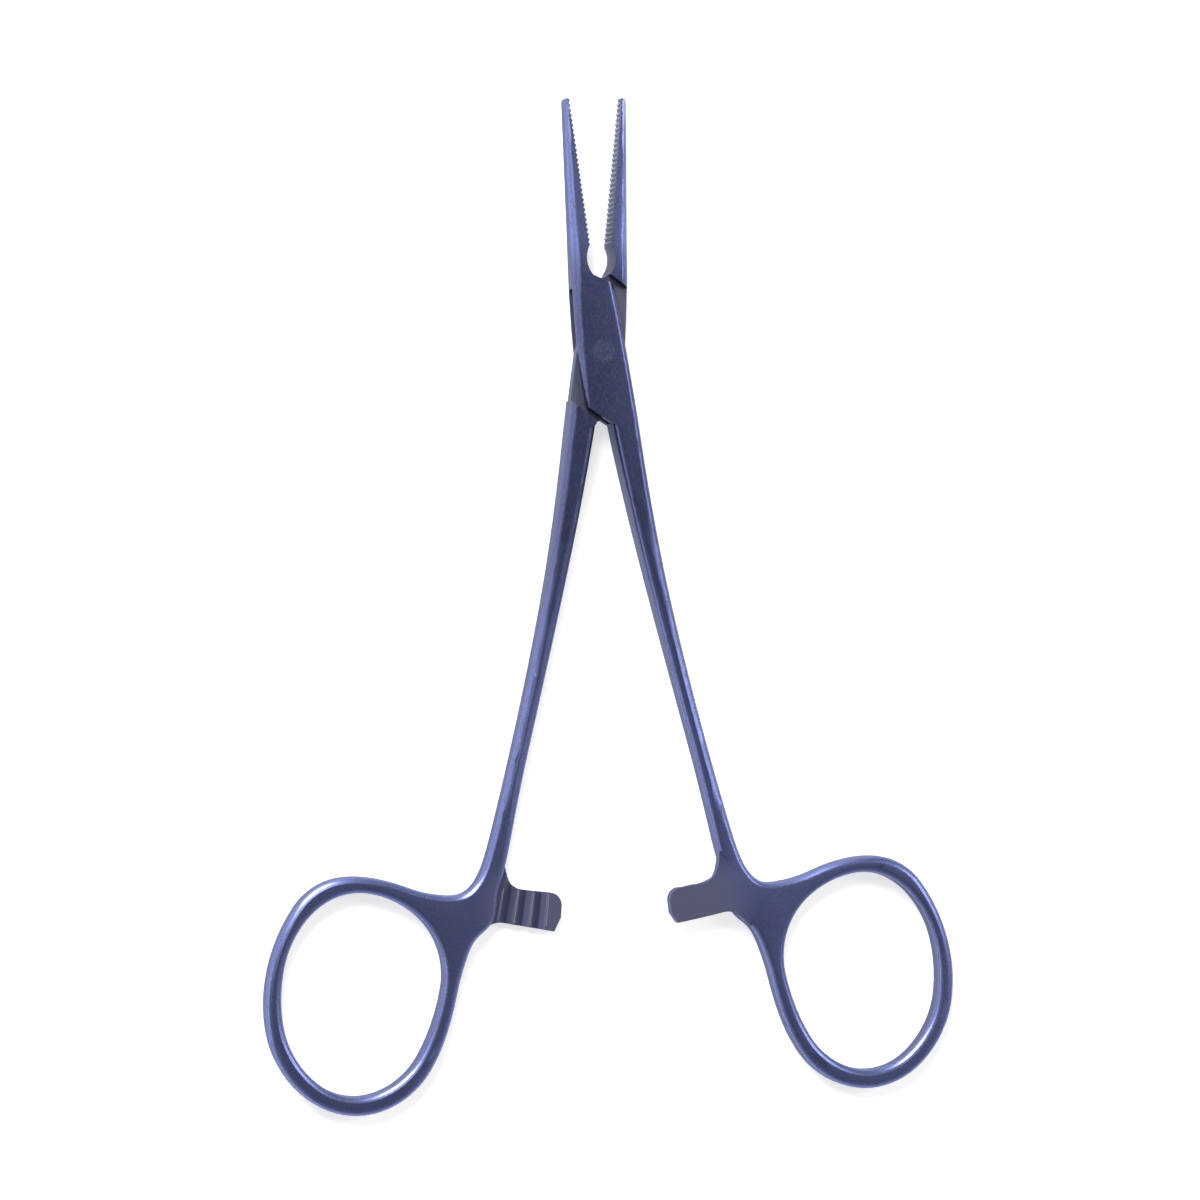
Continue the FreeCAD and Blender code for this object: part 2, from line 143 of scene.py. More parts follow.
def arithmetic(tree, kind, *terms):
    """The result of a maths node whose terms are sockets or plain numbers."""
    step = tree.nodes.new("ShaderNodeMath")
    step.operation = kind
    for socket, term in zip(step.inputs, terms):
        if isinstance(term, bpy.types.NodeSocket):
            tree.links.new(term, socket)
        else:
            socket.default_value = term
    return step.outputs[0]


def satin_grain_group():
    """Fine tumbled grain and slow clouding of a coated forging."""
    inputs = [("Grain size", GRAIN_MM), ("Cloud size", CLOUD_MM)]
    group, entry, result = node_group("satin_grain", inputs, ["Grain", "Cloud"])
    nodes, links = group.nodes, group.links
    place = nodes.new("ShaderNodeTexCoord")

    def noise(size_input, detail, stretch):
        mapping = nodes.new("ShaderNodeMapping")
        mapping.inputs["Scale"].default_value = (1.0, stretch, 1.0)
        links.new(place.outputs["Object"], mapping.inputs["Vector"])
        texture = nodes.new("ShaderNodeTexNoise")
        texture.inputs["Detail"].default_value = detail
        links.new(mapping.outputs["Vector"], texture.inputs["Vector"])
        links.new(arithmetic(group, "DIVIDE", 1.0 / MM, entry.outputs[size_input]), texture.inputs["Scale"])
        return texture.outputs["Fac"]

    links.new(noise("Grain size", GRAIN_DETAIL, GRAIN_STRETCH), result.inputs["Grain"])
    links.new(noise("Cloud size", CLOUD_DETAIL, CLOUD_STRETCH), result.inputs["Cloud"])
    return group


def forging_zones_group():
    """Masks of a half's biting face, arm, waist, ratchet grooves, upright rims, and the parts towards the jaw's
    tip and the handle that get painted light.
    """
    outputs = ["Bite", "Arm", "Waist", "Groove", "Painted light ends", "Rim"]
    group, entry, result = node_group("forging_zones", [("Side", FEMALE_SIDE)], outputs)
    nodes, links = group.nodes, group.links
    place = nodes.new("ShaderNodeTexCoord")
    flip = nodes.new("ShaderNodeCombineXYZ")
    flip.inputs["Y"].default_value = 1.0
    flip.inputs["Z"].default_value = 1.0
    links.new(entry.outputs["Side"], flip.inputs["X"])
    sided = nodes.new("ShaderNodeVectorMath")
    sided.operation = "MULTIPLY"
    links.new(place.outputs["Object"], sided.inputs[0])
    links.new(flip.outputs["Vector"], sided.inputs[1])
    closed = nodes.new("ShaderNodeMapping")
    closed.inputs["Rotation"].default_value = (0.0, 0.0, -HALF_OPENING)
    links.new(sided.outputs["Vector"], closed.inputs["Vector"])
    axes = nodes.new("ShaderNodeSeparateXYZ")
    links.new(closed.outputs["Vector"], axes.inputs["Vector"])
    surface = nodes.new("ShaderNodeNewGeometry")
    facing = nodes.new("ShaderNodeSeparateXYZ")
    links.new(surface.outputs["Normal"], facing.inputs["Vector"])

    def fade(value, start, end):
        ramp = nodes.new("ShaderNodeMapRange")
        ramp.interpolation_type = "SMOOTHSTEP"
        ramp.inputs["From Min"].default_value = start
        ramp.inputs["From Max"].default_value = end
        links.new(value, ramp.inputs["Value"])
        return ramp.outputs["Result"]

    def both(first, second):
        return arithmetic(group, "MULTIPLY", first, second)

    away, along = axes.outputs["X"], axes.outputs["Y"]
    depth = arithmetic(group, "ABSOLUTE", arithmetic(group, "SUBTRACT", axes.outputs["Z"], LOCK_MIDDLE_Z))
    steepness = arithmetic(group, "ABSOLUTE", facing.outputs["Z"])

    inner_side = fade(away, -BITE_DEPTH, -BITE_DEPTH + BITE_FADE)
    upper_part = fade(along, BITE_FOOT_Y, BITE_FOOT_Y + LOCK_FADE)
    on_bite = both(both(inner_side, upper_part), fade(steepness, *WALL_STEEPNESS))
    links.new(on_bite, result.inputs["Bite"])

    arm_side = fade(away, *(ARM_ROOT_X + reach for reach in ARM_ROOT_FADE))
    arm_part = fade(along, *(ARM_TOP_Y + reach for reach in ARM_TOP_FADE))
    on_arm = both(arm_side, arm_part)
    links.new(on_arm, result.inputs["Arm"])
    in_groove = both(fade(depth, *GROOVE_LIP), fade(depth, GROOVE_BOTTOM + GROOVE_FADE, GROOVE_BOTTOM))
    links.new(both(on_arm, in_groove), result.inputs["Groove"])

    in_lock = fade(arithmetic(group, "ABSOLUTE", along), LOCK_REACH, LOCK_REACH - LOCK_FADE)
    in_slot = fade(depth, *(WAIST_HALF + reach for reach in SLOT_FADE))
    on_waist = both(both(in_lock, in_slot), fade(steepness, *LEVEL_STEEPNESS))
    links.new(on_waist, result.inputs["Waist"])

    # Painted light: the coat is lightened towards the handle and the jaw's tip.
    painted_light_ends = arithmetic(group, "ADD", fade(along, *HANDLE_PAINTED_LIGHT), fade(along, *JAW_PAINTED_LIGHT))
    links.new(painted_light_ends, result.inputs["Painted light ends"])
    links.new(fade(steepness, *RIM_STEEPNESS), result.inputs["Rim"])
    return group


SATIN_GRAIN = satin_grain_group()
FORGING_ZONES = forging_zones_group()


def coated_steel(name, side, roughness, grain_bump, brown_from):
    """Blue coat over satin steel, with the steel showing through on the biting face and the arm."""
    material = bpy.data.materials.new(name)
    material.use_nodes = True
    tree = material.node_tree
    nodes, links = tree.nodes, tree.links
    shader = nodes["Principled BSDF"]
    shader.inputs["Metallic"].default_value = 1.0
    shader.inputs["Specular Tint"].default_value = COAT_EDGE_TINT
    satin = nodes.new("ShaderNodeGroup")
    satin.node_tree = SATIN_GRAIN
    satin.inputs["Grain size"].default_value = GRAIN_MM
    satin.inputs["Cloud size"].default_value = CLOUD_MM
    grain = satin.outputs["Grain"]
    zones = nodes.new("ShaderNodeGroup")
    zones.node_tree = FORGING_ZONES
    zones.inputs["Side"].default_value = side

    def blend(factor, first, second):
        mix = nodes.new("ShaderNodeMix")
        mix.data_type = "RGBA"
        links.new(factor, mix.inputs["Factor"])
        for socket, colour in (("A", first), ("B", second)):
            if isinstance(colour, tuple):
                mix.inputs[socket].default_value = colour
            else:
                links.new(colour, mix.inputs[socket])
        return mix.outputs["Result"]

    cloud = arithmetic(tree, "MULTIPLY_ADD", satin.outputs["Cloud"], CLOUD_CONTRAST, CLOUD_SHIFT)
    mottle = arithmetic(tree, "MULTIPLY_ADD", grain, GRAIN_SHARE, cloud)
    # Painted light: lightens the coat towards the jaw's tip and along the handle.
    painted_light = arithmetic(tree, "MULTIPLY", zones.outputs["Painted light ends"], PAINTED_LIGHT_SHARE)
    brown = nodes.new("ShaderNodeMapRange")
    brown.inputs["From Min"].default_value = brown_from
    brown.inputs["From Max"].default_value = brown_from + BROWN_SPAN
    links.new(grain, brown.inputs["Value"])
    coat = blend(mottle, COAT_DEEP, COAT_BRIGHT)
    coat = blend(painted_light, coat, COAT_PAINTED_LIGHT)
    coat = blend(brown.outputs["Result"], coat, COAT_BROWN)
    # Bare steel on the rims, the arm, the waist and the biting face. The darker groove colour is painted shade.
    for zone, steel in (
        ("Rim", RIM_STEEL),
        ("Arm", ARM_STEEL),
        ("Waist", WAIST_STEEL),
        ("Groove", GROOVE_PAINTED_SHADE),
        ("Bite", BITE_STEEL),
    ):
        coat = blend(zones.outputs[zone], coat, steel)
    links.new(coat, shader.inputs["Base Color"])

    gloss = nodes.new("ShaderNodeMapRange")
    gloss.inputs["To Min"].default_value = roughness + SATIN_SPREAD[0]
    gloss.inputs["To Max"].default_value = roughness + SATIN_SPREAD[1]
    links.new(grain, gloss.inputs["Value"])
    worn = arithmetic(tree, "MAXIMUM", zones.outputs["Bite"], zones.outputs["Waist"])
    bare = arithmetic(tree, "MAXIMUM", zones.outputs["Arm"], worn)
    dull = arithmetic(tree, "MULTIPLY_ADD", bare, BARE_DULLING, gloss.outputs["Result"])
    dull = arithmetic(tree, "MULTIPLY_ADD", zones.outputs["Groove"], GROOVE_DULLING, dull)
    links.new(dull, shader.inputs["Roughness"])

    bump = nodes.new("ShaderNodeBump")
    bump.inputs["Strength"].default_value = grain_bump
    bump.inputs["Distance"].default_value = GRAIN_HEIGHT
    links.new(grain, bump.inputs["Height"])
    links.new(bump.outputs["Normal"], shader.inputs["Normal"])
    return material


def ramp_up(value, start, end):
    """A smooth rise from 0 at the start to 1 at the end."""
    step = min(max((value - start) / (end - start), 0.0), 1.0)
    return step * step * (3 - 2 * step)


def when_closed(spot, side):
    """Where a spot of one half lies in the closed instrument, with the jaw at x below 0 and the ring above."""
    x = side * spot.x * math.cos(HALF_OPENING) + spot.y * math.sin(HALF_OPENING)
    y = spot.y * math.cos(HALF_OPENING) - side * spot.x * math.sin(HALF_OPENING)
    return x, y


def as_it_lies(x, y, side):
    """The turn back from the closed instrument to the half-open one."""
    turned_x = x * math.cos(HALF_OPENING) - y * math.sin(HALF_OPENING)
    turned_y = x * math.sin(HALF_OPENING) + y * math.cos(HALF_OPENING)
    return Vector((side * turned_x, turned_y, 0.0))


def jaw_half_height(y):
    """Half the jaw's thickness, which tapers from the lock to the tip."""
    slope = (LOCK_MIDDLE_Z - JAW_TIP_HALF) / (JAW_LENGTH - BITE_FOOT_Y)
    return LOCK_MIDDLE_Z - max(y - BITE_FOOT_Y, 0.0) * slope


def grind_crown(work, side):
    """Grind the back of the jaw to a crown: the further from the biting face, the lower."""
    narrowing = (JAW_TIP_WIDTH - JAW_ROOT_WIDTH) / (JAW_LENGTH - BITE_FOOT_Y)
    crown_foot, crown_full = CROWN_RISE[0], CROWN_RISE[-1]

    def cut(x, y, across_x, across_y, lowest_y):
        near = [face for face in work.faces if max(when_closed(v.co, side)[1] for v in face.verts) > lowest_y]
        parts = dict.fromkeys(part for face in near for part in (face, *face.edges, *face.verts))
        bmesh.ops.bisect_plane(
            work,
            geom=list(parts),
            dist=CUT_SNAP,
            plane_co=as_it_lies(x, y, side),
            plane_no=as_it_lies(across_x, across_y, side),
        )

    for rise in CROWN_RISE:
        cut(0.0, rise, 0.0, 1.0, crown_foot - CROWN_MARGIN)
    for share in CROWN_CUTS:
        cut(-share * JAW_ROOT_WIDTH, BITE_FOOT_Y, 1.0, share * narrowing, crown_foot + WELD)
    bmesh.ops.triangulate(work, faces=work.faces)
    for vertex in work.verts:
        x, y = when_closed(vertex.co, side)
        width = JAW_ROOT_WIDTH + (y - BITE_FOOT_Y) * narrowing
        beyond = max(-x / width - CROWN_CUTS[0], 0.0)
        if y > crown_foot and beyond > 0.0:
            fall = CROWN_FALL * width * beyond ** 2 * ramp_up(y, crown_foot, crown_full)
            vertex.co.z -= (vertex.co.z - LOCK_MIDDLE_Z) * fall / jaw_half_height(y)


def ovalness(spot, side):
    """How far grinding has rolled the flats over at a spot. None at the lock and the yoke, all on the ring."""
    x, y = when_closed(spot, side)
    away_x, away_y = x - RING_CENTRE[0], y - RING_CENTRE[1]
    if math.hypot(away_x, away_y) < RING_REACH:
        bearing = math.atan2(away_y, away_x) - YOKE_BEARING
        return ramp_up(abs(math.remainder(bearing, math.tau)), RING_OVAL_FROM, RING_OVAL_FULL)
    full = ramp_up(y, SHANK_OVAL_FROM, SHANK_OVAL_FULL)
    return full * ramp_up(y, SHANK_OVAL_ENDS, SHANK_OVAL_ENDS + SHANK_OVAL_FADE)


def ground_normals(work, side):
    """Corner normals by (face, vertex).

    Flats and upright walls keep their own. The flats of shanks and rings are rolled over a little at the edges.
    """
    normals = {}
    flat_z, wall_z = math.cos(FLAT_TILT), math.sin(FLAT_TILT)
    for vertex in work.verts:
        waiting = {loop.face: loop for loop in vertex.link_loops}
        while waiting:
            face, loop = waiting.popitem()
            fan, edge_faces = [loop], [face]
            while edge_faces:
                for edge in edge_faces.pop().edges:
                    if vertex in edge.verts and edge.smooth:
                        for other in edge.link_faces:
                            if other in waiting:
                                fan.append(waiting.pop(other))
                                edge_faces.append(other)
            plain, rounded = [], []
            for one in fan:
                on_round = wall_z < abs(one.face.normal.z) < flat_z
                (rounded if on_round else plain).append(one.face.normal * one.calc_angle())
            total = sum(plain or rounded, Vector((0, 0, 0))).normalized()
            if plain and rounded and abs(total.z) > flat_z:
                outward = sum(rounded, Vector((0, 0, 0)))
                outward.z = 0.0
                total += outward.normalized() * OVAL_TILT * ovalness(vertex.co, side)
            for one in fan:
                normals[one.face.index, vertex.index] = total.normalized()
    return normals


def forging_copy(node, name, material, side):
    """The CAD forging, its jaw ground to a crown, shaded smooth with its ground edges kept crisp."""
    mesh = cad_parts[node].data.copy()
    mesh.name = name
    mesh.materials.clear()
    mesh.materials.append(material)
    work = bmesh.new()
    work.from_mesh(mesh)
    bmesh.ops.remove_doubles(work, verts=work.verts, dist=WELD)
    grind_crown(work, side)
    work.normal_update()
    for face in work.faces:
        face.smooth = True
        face.material_index = 0
    for edge in work.edges:
        edge.smooth = edge.is_manifold and edge.calc_face_angle(0.0) < SMOOTH_ANGLE
    work.faces.index_update()
    work.verts.index_update()
    normals = ground_normals(work, side)
    work.to_mesh(mesh)
    work.free()
    corners = [normals[face.index, vertex] for face in mesh.polygons for vertex in face.vertices]
    mesh.normals_split_custom_set(corners)
    piece = bpy.data.objects.new(name, mesh)
    bpy.context.scene.collection.objects.link(piece)
    return piece


female_coat = coated_steel("female_blue_coat", FEMALE_SIDE, SATIN_ROUGHNESS, GRAIN_BUMP, BROWN_FROM)
female_forging = forging_copy("female_half", "female_forging", female_coat, FEMALE_SIDE)
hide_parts("female_half")
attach(female_forging, "female_half")


# Male half
# The other forging, with the right jaw, the thin waist in the box and the left ring.
# Same steel and coat. Its ratchet teeth face up.

MALE_SIDE = -1.0

male_coat = coated_steel("male_blue_coat", MALE_SIDE, SATIN_ROUGHNESS, GRAIN_BUMP, BROWN_FROM)
male_forging = forging_copy("male_half", "male_forging", male_coat, MALE_SIDE)
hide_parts("male_half")
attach(male_forging, "male_half")


# Crests of the jaw teeth
# The cross teeth of both jaws are milled sharp and then stoned, which leaves a bright round on each crest. Its
# light colour is partly bare steel and partly a painted highlight.
# The rows of the two jaws are half a pitch apart, so that they mesh.

BITE_START_Y = 13.1 * MM
TOOTH_PITCH = 0.61 * MM
FEMALE_TIP_SHARE = 0.5
MALE_TIP_SHARE = 1.0
CREST_X = 0.08 * MM
CREST_RADIUS = 0.05 * MM
CREST_SINK = 0.035 * MM
CREST_END_ROUND = 0.22 * MM
CREST_SIDES = 8
# Partly a painted highlight: the crests are coloured far lighter than the bare steel of the biting face.
CREST_STEEL_AND_HIGHLIGHT = (0.42, 0.43, 0.48, 1.0)
CREST_ROUGHNESS = 0.42
STONED_GRAIN_MM = 0.12
STONED_SPREAD = 0.08


def geometry_tree(name, inputs):
    """A geometry tree with named inputs (name, kind), one of them the material, and its two end nodes."""
    tree = bpy.data.node_groups.new(name, "GeometryNodeTree")
    tree.interface.new_socket(name="Geometry", in_out="OUTPUT", socket_type="NodeSocketGeometry")
    for label, kind in (*inputs, ("Material", "Material")):
        tree.interface.new_socket(name=label, in_out="INPUT", socket_type="NodeSocket" + kind)
    return tree, tree.nodes.new("NodeGroupInput"), tree.nodes.new("NodeGroupOutput")


def end_in_material(tree, entry, result, geometry):
    """The last node of a geometry tree, which gives the real geometry its material."""
    finish = tree.nodes.new("GeometryNodeSetMaterial")
    tree.links.new(geometry, finish.inputs["Geometry"])
    tree.links.new(entry.outputs["Material"], finish.inputs["Material"])
    tree.links.new(finish.outputs["Geometry"], result.inputs["Geometry"])


def crest_row_tree():
    """A row of round bars across a jaw. Their length falls evenly from the first to the last."""
    tree, entry, result = geometry_tree(
        "crest_row",
        (
            ("Count", "Int"),
            ("Pitch", "Float"),
            ("Start", "Vector"),
            ("First length", "Float"),
            ("Last length", "Float"),
            ("Radius", "Float"),
            ("Turn", "Vector"),
        ),
    )
    nodes, links = tree.nodes, tree.links
    step = nodes.new("ShaderNodeCombineXYZ")
    links.new(entry.outputs["Pitch"], step.inputs["Y"])
    row = nodes.new("GeometryNodeMeshLine")
    links.new(entry.outputs["Count"], row.inputs["Count"])
    links.new(entry.outputs["Start"], row.inputs["Start Location"])
    links.new(step.outputs["Vector"], row.inputs["Offset"])
    bar = nodes.new("GeometryNodeMeshCylinder")
    bar.inputs["Vertices"].default_value = CREST_SIDES
    bar.inputs["Radius"].default_value = 1.0
    bar.inputs["Depth"].default_value = 1.0
    index = nodes.new("GeometryNodeInputIndex")
    length = nodes.new("ShaderNodeMapRange")
    links.new(index.outputs["Index"], length.inputs["Value"])
    links.new(entry.outputs["Count"], length.inputs["From Max"])
    links.new(entry.outputs["First length"], length.inputs["To Min"])
    links.new(entry.outputs["Last length"], length.inputs["To Max"])
    size = nodes.new("ShaderNodeCombineXYZ")
    links.new(entry.outputs["Radius"], size.inputs["X"])
    links.new(entry.outputs["Radius"], size.inputs["Y"])
    links.new(length.outputs["Result"], size.inputs["Z"])
    place = nodes.new("GeometryNodeInstanceOnPoints")
    links.new(row.outputs["Mesh"], place.inputs["Points"])
    links.new(bar.outputs["Mesh"], place.inputs["Instance"])
    links.new(size.outputs["Vector"], place.inputs["Scale"])
    turn = nodes.new("GeometryNodeTransform")
    links.new(place.outputs["Instances"], turn.inputs["Geometry"])
    links.new(entry.outputs["Turn"], turn.inputs["Rotation"])
    real = nodes.new("GeometryNodeRealizeInstances")
    links.new(turn.outputs["Geometry"], real.inputs["Geometry"])
    smooth = nodes.new("GeometryNodeSetShadeSmooth")
    links.new(real.outputs["Geometry"], smooth.inputs["Geometry"])
    end_in_material(tree, entry, result, smooth.outputs["Geometry"])
    return tree


def grown_piece(name, tree, values, material):
    """A plain mesh object made by a geometry tree with the given named inputs."""
    piece = bpy.data.objects.new(name, bpy.data.meshes.new(name))
    bpy.context.scene.collection.objects.link(piece)
    maker = piece.modifiers.new("maker", "NODES")
    maker.node_group = tree
    values = dict(values, Material=material)
    for item in tree.interface.items_tree:
        if item.in_out == "INPUT":
            maker[item.identifier] = values[item.name]
    made = bpy.data.meshes.new_from_object(piece.evaluated_get(bpy.context.evaluated_depsgraph_get()))
    made.name = name
    piece.modifiers.clear()
    piece.data = made
    return piece


def stoned_steel_with_highlight(name, colour, roughness):
    """Bare steel where stoning or wear has taken the coat off, in a colour made lighter as a painted highlight.
    """
    material = bpy.data.materials.new(name)
    material.use_nodes = True
    nodes, links = material.node_tree.nodes, material.node_tree.links
    shader = nodes["Principled BSDF"]
    shader.inputs["Metallic"].default_value = 1.0
    shader.inputs["Base Color"].default_value = colour
    satin = nodes.new("ShaderNodeGroup")
    satin.node_tree = SATIN_GRAIN
    satin.inputs["Grain size"].default_value = STONED_GRAIN_MM
    gloss = nodes.new("ShaderNodeMapRange")
    gloss.inputs["To Min"].default_value = roughness - STONED_SPREAD
    gloss.inputs["To Max"].default_value = roughness + STONED_SPREAD
    links.new(satin.outputs["Grain"], gloss.inputs["Value"])
    links.new(gloss.outputs["Result"], shader.inputs["Roughness"])
    return material


crest_tree = crest_row_tree()
crest_steel_and_highlight = stoned_steel_with_highlight("stoned_crests_and_highlight", CREST_STEEL_AND_HIGHLIGHT, CREST_ROUGHNESS)
for node, side, tip_share in (
    ("female_half", FEMALE_SIDE, FEMALE_TIP_SHARE),
    ("male_half", MALE_SIDE, MALE_TIP_SHARE),
):
    last_y = JAW_LENGTH - tip_share * TOOTH_PITCH
    count = int((last_y - BITE_START_Y) / TOOTH_PITCH) + 1
    first_y = last_y - (count - 1) * TOOTH_PITCH
    crests = grown_piece(
        node.split("_")[0] + "_jaw_crests",
        crest_tree,
        {
            "Count": count,
            "Pitch": TOOTH_PITCH,
            "Start": (side * (CREST_X - CREST_SINK), first_y, LOCK_MIDDLE_Z),
            "First length": 2 * (jaw_half_height(first_y) - CREST_END_ROUND),
            "Last length": 2 * (jaw_half_height(last_y) - CREST_END_ROUND),
            "Radius": CREST_RADIUS,
            "Turn": (0.0, 0.0, side * HALF_OPENING),
        },
        crest_steel_and_highlight,
    )
    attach(crests, node)


# Ridges of the ratchet
# Between the saw-tooth grooves of each arm stand narrow lands, rubbed bright where the arms slide over
# each other. Their light colour is partly bare steel and partly a painted highlight. They lie along radii from
# the pivot.

RATCHET_RADIUS = 68.3 * MM
RATCHET_FIRST_X = 0.86 * MM
RATCHET_PITCH = 1.97 * MM
RATCHET_RIDGES = 4
RIDGE_LENGTH = 3.9 * MM
RIDGE_WIDTH = 0.16 * MM
RIDGE_HEIGHT = 0.03 * MM
ARM_FACE_DROP = 0.05 * MM
# Partly a painted highlight: the ridges are coloured lighter than the bare steel of the arm.
RIDGE_STEEL_AND_HIGHLIGHT = (0.30, 0.31, 0.37, 1.0)
RIDGE_ROUGHNESS = 0.48


def ridge_fan_tree():
    """Flat bars at even angles on a circle about the pivot, each along its radius."""
    tree, entry, result = geometry_tree(
        "ridge_fan",
        (
            ("Count", "Int"),
            ("First angle", "Float"),
            ("Angle step", "Float"),
            ("Radius", "Float"),
            ("Height", "Float"),
            ("Bar size", "Vector"),
        ),
    )
    nodes, links = tree.nodes, tree.links
    index = nodes.new("GeometryNodeInputIndex")
    angle = arithmetic(
        tree, "MULTIPLY_ADD", index.outputs["Index"], entry.outputs["Angle step"], entry.outputs["First angle"]
    )
    turn = nodes.new("ShaderNodeCombineXYZ")
    links.new(angle, turn.inputs["Z"])
    spot = nodes.new("ShaderNodeCombineXYZ")
    links.new(arithmetic(tree, "MULTIPLY", entry.outputs["Radius"], -1.0), spot.inputs["Y"])
    links.new(entry.outputs["Height"], spot.inputs["Z"])
    swing = nodes.new("ShaderNodeVectorRotate")
    swing.rotation_type = "EULER_XYZ"
    links.new(spot.outputs["Vector"], swing.inputs["Vector"])
    links.new(turn.outputs["Vector"], swing.inputs["Rotation"])
    seeds = nodes.new("GeometryNodePoints")
    links.new(entry.outputs["Count"], seeds.inputs["Count"])
    links.new(swing.outputs["Vector"], seeds.inputs["Position"])
    bar = nodes.new("GeometryNodeMeshCube")
    links.new(entry.outputs["Bar size"], bar.inputs["Size"])
    place = nodes.new("GeometryNodeInstanceOnPoints")
    links.new(seeds.outputs["Points"], place.inputs["Points"])
    links.new(bar.outputs["Mesh"], place.inputs["Instance"])
    links.new(turn.outputs["Vector"], place.inputs["Rotation"])
    real = nodes.new("GeometryNodeRealizeInstances")
    links.new(place.outputs["Instances"], real.inputs["Geometry"])
    end_in_material(tree, entry, result, real.outputs["Geometry"])
    return tree


ridge_tree = ridge_fan_tree()
ridge_steel_and_highlight = stoned_steel_with_highlight("rubbed_ridges_and_highlight", RIDGE_STEEL_AND_HIGHLIGHT, RIDGE_ROUGHNESS)
for node, side in (("female_half", FEMALE_SIDE), ("male_half", MALE_SIDE)):
    ridges = grown_piece(
        node.split("_")[0] + "_arm_ridges",
        ridge_tree,
        {
            "Count": RATCHET_RIDGES,
            "First angle": side * (RATCHET_FIRST_X / RATCHET_RADIUS + HALF_OPENING),
            "Angle step": side * RATCHET_PITCH / RATCHET_RADIUS,
            "Radius": RATCHET_RADIUS,
            "Height": LOCK_MIDDLE_Z + side * ARM_FACE_DROP,
            "Bar size": (RIDGE_WIDTH, RIDGE_LENGTH, RIDGE_HEIGHT),
        },
        ridge_steel_and_highlight,
    )
    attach(ridges, node)


# Pivot rivet
# A steel pin peened flush into both cheeks of the box and ground off with them.
# Only a faint disc shows in the coat, a little duller and browner than the cheek.

RIVET_ROUGHNESS = SATIN_ROUGHNESS + 0.05
RIVET_BUMP = 0.35
RIVET_BROWN_FROM = 0.43

rivet_coat = coated_steel("rivet_blue_coat", FEMALE_SIDE, RIVET_ROUGHNESS, RIVET_BUMP, RIVET_BROWN_FROM)
rivet = forging_copy("pivot_pin", "rivet", rivet_coat, FEMALE_SIDE)
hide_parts("pivot_pin")
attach(rivet, "female_half")


# Floor
# A plain pale sheet of light table. The instrument rests on the back of its lock and on the far ends of its
# rings, which are set higher, so the sheet is tilted to touch both.

FLOOR_SIZE = 1.6
LOCK_FOOT_Y = -6.6 * MM
RING_END_Y = -91.5 * MM
RING_UNDERSIDE_Z = 0.7 * MM
SHEET_GAP = 0.02 * MM
SHEET_COLOUR = (0.66, 0.66, 0.66, 1.0)
SHEET_ROUGHNESS = 0.9
SHEET_GLOW_COLOUR = (1.0, 1.0, 1.0, 1.0)
SHEET_GLOW = 0.62

floor_slope = math.atan2(RING_UNDERSIDE_Z, LOCK_FOOT_Y - RING_END_Y)
floor_mesh = bpy.data.meshes.new("floor")
half = FLOOR_SIZE / 2
corners = [(-half, -half, 0), (half, -half, 0), (half, half, 0), (-half, half, 0)]
floor_mesh.from_pydata(corners, [], [(0, 1, 2, 3)])
floor = bpy.data.objects.new("floor", floor_mesh)
bpy.context.scene.collection.objects.link(floor)
floor.matrix_world = Matrix.Translation((0, LOCK_FOOT_Y, -SHEET_GAP)) @ Matrix.Rotation(-floor_slope, 4, "X")
floor_paint = bpy.data.materials.new("pale_sheet")
floor_paint.use_nodes = True
sheet = floor_paint.node_tree.nodes["Principled BSDF"]
sheet.inputs["Base Color"].default_value = SHEET_COLOUR
sheet.inputs["Roughness"].default_value = SHEET_ROUGHNESS
sheet.inputs["Emission Color"].default_value = SHEET_GLOW_COLOUR
sheet.inputs["Emission Strength"].default_value = SHEET_GLOW
floor_mesh.materials.append(floor_paint)


# Light
# Soft boxes low at the sides light the rounded edges. The part of the sky that the flats mirror is dark.
# The boxes all face a point half-way down the instrument.

SKY_SIDE = (0.58, 0.59, 0.63, 1.0)
SKY_SIDE_HEIGHT = 0.35
SKY_TOP = (0.13, 0.13, 0.135, 1.0)
SKY_TOP_HEIGHT = 0.95
LIT_SPOT = (0.0, -30.0 * MM, 0.0)

world = bpy.data.worlds.new("studio")
bpy.context.scene.world = world
world.use_nodes = True
sky_nodes, sky_links = world.node_tree.nodes, world.node_tree.links
direction = sky_nodes.new("ShaderNodeTexCoord")
height = sky_nodes.new("ShaderNodeSeparateXYZ")
ramp = sky_nodes.new("ShaderNodeValToRGB")
for stop, position, colour in zip(
    ramp.color_ramp.elements, (SKY_SIDE_HEIGHT, SKY_TOP_HEIGHT), (SKY_SIDE, SKY_TOP)
):
    stop.position = position
    stop.color = colour
sky_links.new(direction.outputs["Generated"], height.inputs["Vector"])
sky_links.new(height.outputs["Z"], ramp.inputs["Fac"])
sky_links.new(ramp.outputs["Color"], sky_nodes["Background"].inputs["Color"])
sky_nodes["Background"].inputs["Strength"].default_value = 1.0


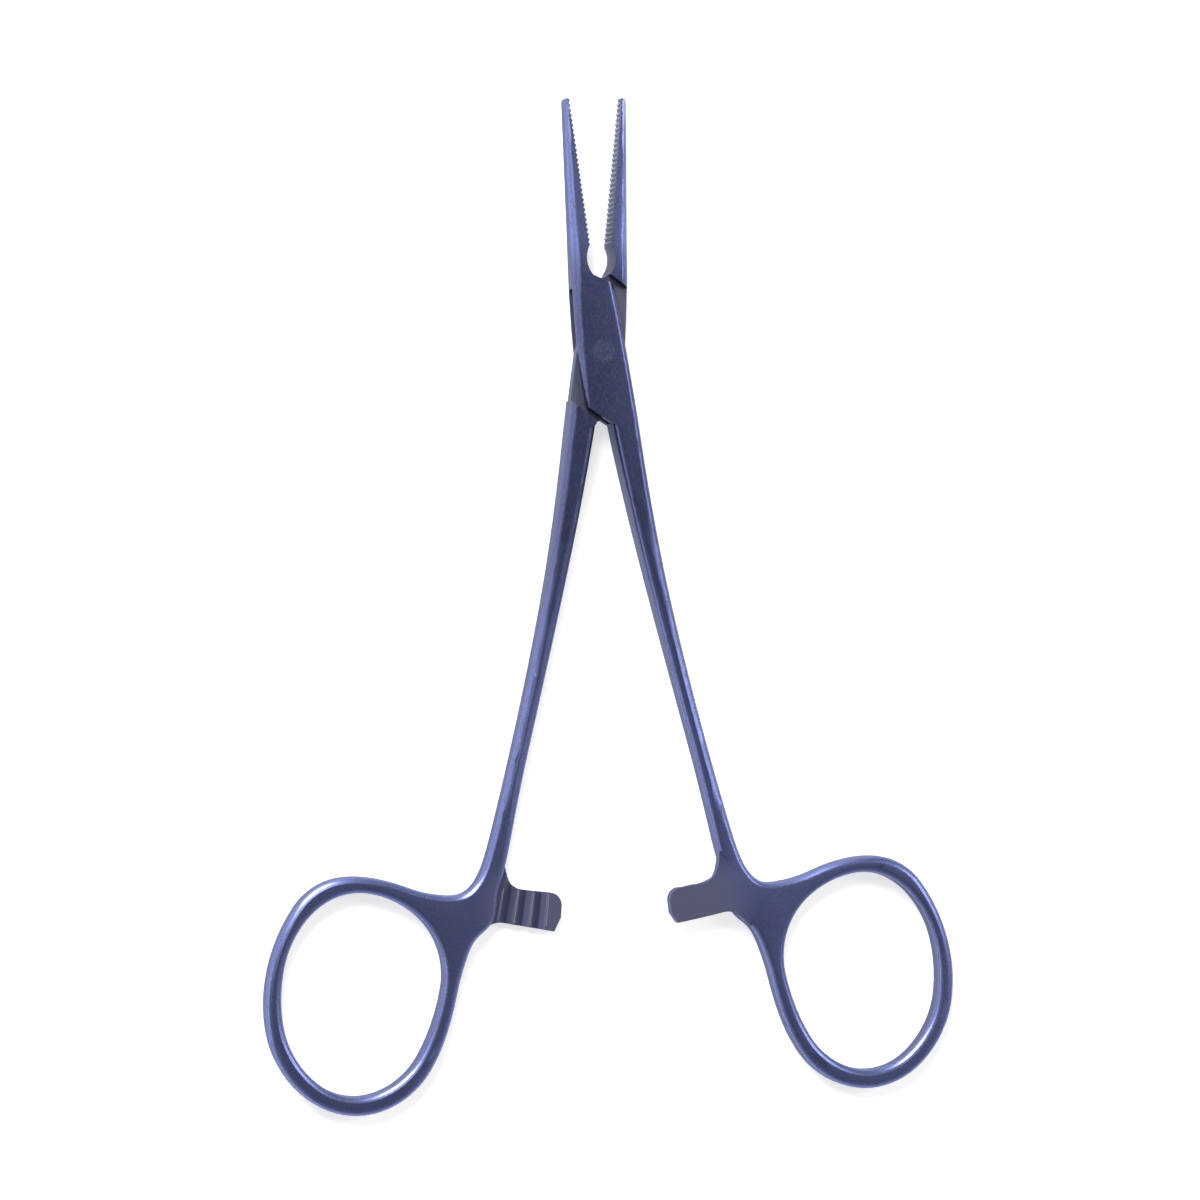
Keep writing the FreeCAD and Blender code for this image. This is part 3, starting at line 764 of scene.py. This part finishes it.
def soft_box(name, azimuth, elevation, distance, size, power):
    """A flat soft light aimed at the lit spot. Azimuth 0 is on the +Y side, 90 on the +X side."""
    lamp = bpy.data.lights.new(name, "AREA")
    lamp.shape = "RECTANGLE"
    lamp.size, lamp.size_y = size
    lamp.energy = power
    box = bpy.data.objects.new(name, lamp)
    turn, lift = math.radians(azimuth), math.radians(elevation)
    way = Vector((math.sin(turn) * math.cos(lift), math.cos(turn) * math.cos(lift), math.sin(lift)))
    box.location = Vector(LIT_SPOT) + way * distance
    box.rotation_mode = "QUATERNION"
    box.rotation_quaternion = way.to_track_quat("Z", "Y")
    bpy.context.scene.collection.objects.link(box)


soft_box("key_box", azimuth=-30, elevation=36, distance=0.8, size=(0.42, 0.62), power=13.0)
soft_box("left_box", azimuth=-95, elevation=25, distance=0.9, size=(0.60, 0.35), power=1.2)
soft_box("right_box", azimuth=75, elevation=43, distance=0.9, size=(0.22, 0.45), power=2.0)


# Camera
# It looks down from above the instrument's left side, 15 degrees off the upright.
# The pivot lies on the picture's middle line, well above its centre.

VIEW_TURN = math.radians(15.0)
VIEW_ROLL = math.radians(1.395)
VIEW_DISTANCE = 552.0 * MM
PIVOT_RIGHT = -0.0854 * MM
PIVOT_UP = 30.256 * MM
PIXEL = 0.122 * MM
PHOTO_SIDE = 1200
SENSOR_WIDTH = 36.0
NEAREST = 0.01
FARTHEST = 10.0

lens = bpy.data.cameras.new("camera")
lens.sensor_width = SENSOR_WIDTH
lens.lens = SENSOR_WIDTH * VIEW_DISTANCE / (PIXEL * PHOTO_SIDE)
lens.clip_start = NEAREST
lens.clip_end = FARTHEST
camera = bpy.data.objects.new("camera", lens)
camera.matrix_world = (
    Matrix.Translation((0, 0, LOCK_MIDDLE_Z))
    @ Matrix.Rotation(-VIEW_ROLL, 4, "Z")
    @ Matrix.Rotation(-VIEW_TURN, 4, "Y")
    @ Matrix.Translation((-PIVOT_RIGHT, -PIVOT_UP, VIEW_DISTANCE))
)
bpy.context.scene.collection.objects.link(camera)
bpy.context.scene.camera = camera
bpy.context.scene.view_settings.view_transform = "Standard"
